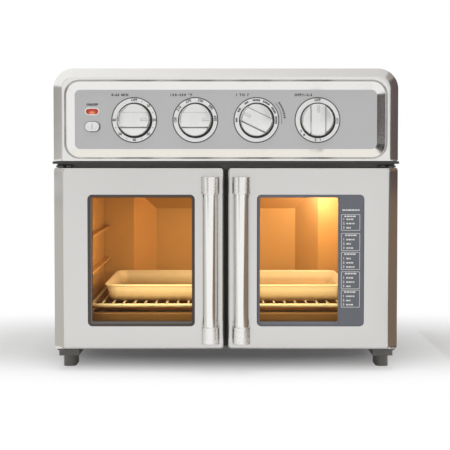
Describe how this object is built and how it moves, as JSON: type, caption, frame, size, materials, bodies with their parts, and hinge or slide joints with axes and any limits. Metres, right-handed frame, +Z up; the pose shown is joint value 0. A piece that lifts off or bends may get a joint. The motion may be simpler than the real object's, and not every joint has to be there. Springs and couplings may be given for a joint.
{
  "type": "air fryer toaster oven",
  "caption": "Countertop air fryer toaster oven with two side-hinged glass doors, bar handles, a recessed control header with rotary knobs, and a rack, pan and crumb tray inside.",
  "frame": {"origin": "on the table under the middle of the overall box, door handles included", "axes": "+X to the user's right, -Y out of the front, +Z up"},
  "size_m": [0.4076, 0.3906, 0.3572],
  "materials": {
    "stainless": "fine brushed stainless",
    "panel_steel": "satin",
    "case_steel": "fine brushed stainless",
    "frame_steel": "dark satin",
    "cavity_steel": "satin, warm from heat",
    "black_trim": "matte black",
    "foot_plastic": "matte black",
    "element_steel": "dark sheath",
    "ceramic_white": "matte ceramic",
    "motor_steel": "zinc plated",
    "lamp_glass": "clear, warm lit",
    "control_body": "moulded phenolic",
    "dial_print": "printed white",
    "lens_red": "translucent red",
    "screw_steel": "zinc plated",
    "hinge_steel": "bare steel",
    "knob_silver": "satin silver",
    "button_silver": "silver plated",
    "fan_aluminium": "plain",
    "rack_chrome": "bright wire",
    "pan_steel": "satin",
    "tray_steel": "satin, warm from heat",
    "liner_dark": "dark satin",
    "bezel_black": "satin black",
    "window_glass": "clear tempered",
    "handle_chrome": "polished"
  },
  "bodies": {
    "case": {"header_fascia": "stainless", "control_panel": "panel_steel", "trim_strip": "black_trim", "outer_wrap": "case_steel", "rear_cover": "case_steel", "base_plate": "case_steel", "front_feet": "foot_plastic", "rear_feet": "foot_plastic", "front_frame": "frame_steel", "cavity_side_left": "cavity_steel", "cavity_side_right": "cavity_steel", "cavity_ceiling": "cavity_steel", "cavity_floor": "cavity_steel", "cavity_back": "cavity_steel", "upper_elements": "element_steel", "lower_elements": "element_steel", "element_bushes": "ceramic_white", "fan_motor": "motor_steel", "fan_guard": "cavity_steel", "lamp_socket": "motor_steel", "lamp_bulb": "lamp_glass", "lamp_cover": "lamp_glass", "temperature_control": "control_body", "shade_control": "control_body", "function_switch": "control_body", "timer_control": "control_body", "dial_plates": "dial_print", "indicator_lens": "lens_red", "switch_housing": "control_body", "cord_gland": "black_trim", "case_screws": "screw_steel", "hinge_plates": "hinge_steel", "hinge_pins": "hinge_steel", "door_catches": "black_trim"},
    "left_door": {"left_door_skin": "stainless", "left_door_liner": "liner_dark", "left_window_bezel": "bezel_black", "left_window_glass": "window_glass", "left_handle_tube": "handle_chrome", "left_handle_posts": "handle_chrome"},
    "right_door": {"right_door_skin": "stainless", "right_door_liner": "liner_dark", "right_window_bezel": "bezel_black", "right_window_glass": "window_glass", "right_handle_tube": "handle_chrome", "right_handle_posts": "handle_chrome"},
    "temperature_turn": {"temperature_knob": "knob_silver", "temperature_spindle": "hinge_steel"},
    "shade_turn": {"shade_knob": "knob_silver", "shade_spindle": "hinge_steel"},
    "function_turn": {"function_knob": "knob_silver", "function_spindle": "hinge_steel"},
    "timer_turn": {"timer_knob": "knob_silver", "timer_spindle": "hinge_steel"},
    "button": {"light_button": "button_silver"},
    "fan": {"fan_impeller": "fan_aluminium"},
    "rack": {"wire_rack": "rack_chrome"},
    "pan": {"baking_pan": "pan_steel"},
    "tray": {"crumb_tray": "tray_steel"}
  },
  "joints": [
    {"name": "left_door_swing", "type": "hinge", "parent": "case", "child": "left_door", "pos_m": [-0.1952, -0.13931, 0.026], "axis": [0, 0, -1], "range_deg": [0, 110]},
    {"name": "right_door_swing", "type": "hinge", "parent": "case", "child": "right_door", "pos_m": [0.1952, -0.13931, 0.026], "axis": [0, 0, 1], "range_deg": [0, 110]},
    {"name": "timer_knob_turn", "type": "hinge", "parent": "case", "child": "timer_turn", "pos_m": [-0.108, -0.14531, 0.2966], "axis": [0, 1, 0], "range_deg": [-90, 210]},
    {"name": "temperature_knob_turn", "type": "hinge", "parent": "case", "child": "temperature_turn", "pos_m": [-0.036, -0.14531, 0.2966], "axis": [0, 1, 0], "range_deg": [-190, 0]},
    {"name": "function_knob_turn", "type": "hinge", "parent": "case", "child": "function_turn", "pos_m": [0.036, -0.14531, 0.2966], "axis": [0, 1, 0], "range_deg": [-26, 154]},
    {"name": "shade_knob_turn", "type": "hinge", "parent": "case", "child": "shade_turn", "pos_m": [0.108, -0.14531, 0.2966], "axis": [0, 1, 0], "range_deg": [0, 300]},
    {"name": "light_button_press", "type": "slide", "parent": "case", "child": "button", "axis": [0, 1, 0], "range_m": [0, 0.0025], "stiffness_N_per_m": 600},
    {"name": "fan_spin", "type": "hinge", "parent": "case", "child": "fan", "pos_m": [0, 0.01051, 0.232], "axis": [0, 0, 1], "continuous": true},
    {"name": "rack_slide", "type": "slide", "parent": "case", "child": "rack", "axis": [0, -1, 0], "range_m": [0, 0.012]},
    {"name": "pan_slide", "type": "slide", "parent": "rack", "child": "pan", "axis": [0, -1, 0], "range_m": [0, 0.01]},
    {"name": "tray_slide", "type": "slide", "parent": "case", "child": "tray", "axis": [0, -1, 0], "range_m": [0, 0.01]}
  ]
}
